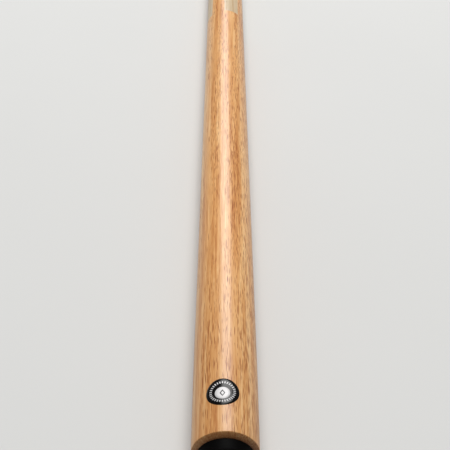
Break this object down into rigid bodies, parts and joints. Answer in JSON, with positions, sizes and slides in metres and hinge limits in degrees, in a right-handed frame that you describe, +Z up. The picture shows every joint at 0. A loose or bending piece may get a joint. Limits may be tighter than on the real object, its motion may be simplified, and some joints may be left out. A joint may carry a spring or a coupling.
{
  "type": "pool cue",
  "caption": "Two-piece pool cue with a spliced hardwood butt, rubber bumper, brass screwed joint, ash shaft, brass ferrule and leather tip.",
  "frame": {"origin": "on the table under the middle of the cue, at the centre of the foot of its bounding box", "axes": "+Y along the cue towards the tip, +Z up, +X to the right as seen from the butt. The cue lies on its butt and its joint collar, so its own axis dips 0.374 degrees towards the tip"},
  "size_m": [0.029, 1.448, 0.0292],
  "materials": {
    "hardwood": "satin lacquer",
    "ash": "satin lacquer",
    "dowel": "raw",
    "badge": "gloss",
    "rubber": "matt",
    "steel": "zinc plated",
    "brass": "turned and polished",
    "leather": "chalked"
  },
  "bodies": {
    "butt": {"handle": "hardwood", "forearm": "ash", "badge": "badge", "weight_rod": "steel", "weight_plug": "dowel", "bumper": "rubber", "bumper_washer": "steel", "bumper_screw": "steel", "butt_collar": "brass", "butt_bush": "brass"},
    "stud": {"joint_stud": "brass"},
    "shaft": {"shaft_bush": "brass", "shaft_collar": "brass", "shaft": "ash", "ferrule": "brass", "cue_tip": "leather"}
  },
  "joints": [
    {"name": "shaft_draw", "type": "slide", "parent": "butt", "child": "stud", "axis": [0, 1, -0.0065], "range_m": [0, 0.02125]},
    {"name": "shaft_turn", "type": "hinge", "parent": "stud", "child": "shaft", "pos_m": [0, 0.00008, 0.0101], "axis": [0, 1, -0.0065], "range_deg": [0, 6121]}
  ],
  "couplings": [
    {"joint": "shaft_turn", "follows": "shaft_draw", "rad_per_m": 5026.5}
  ]
}
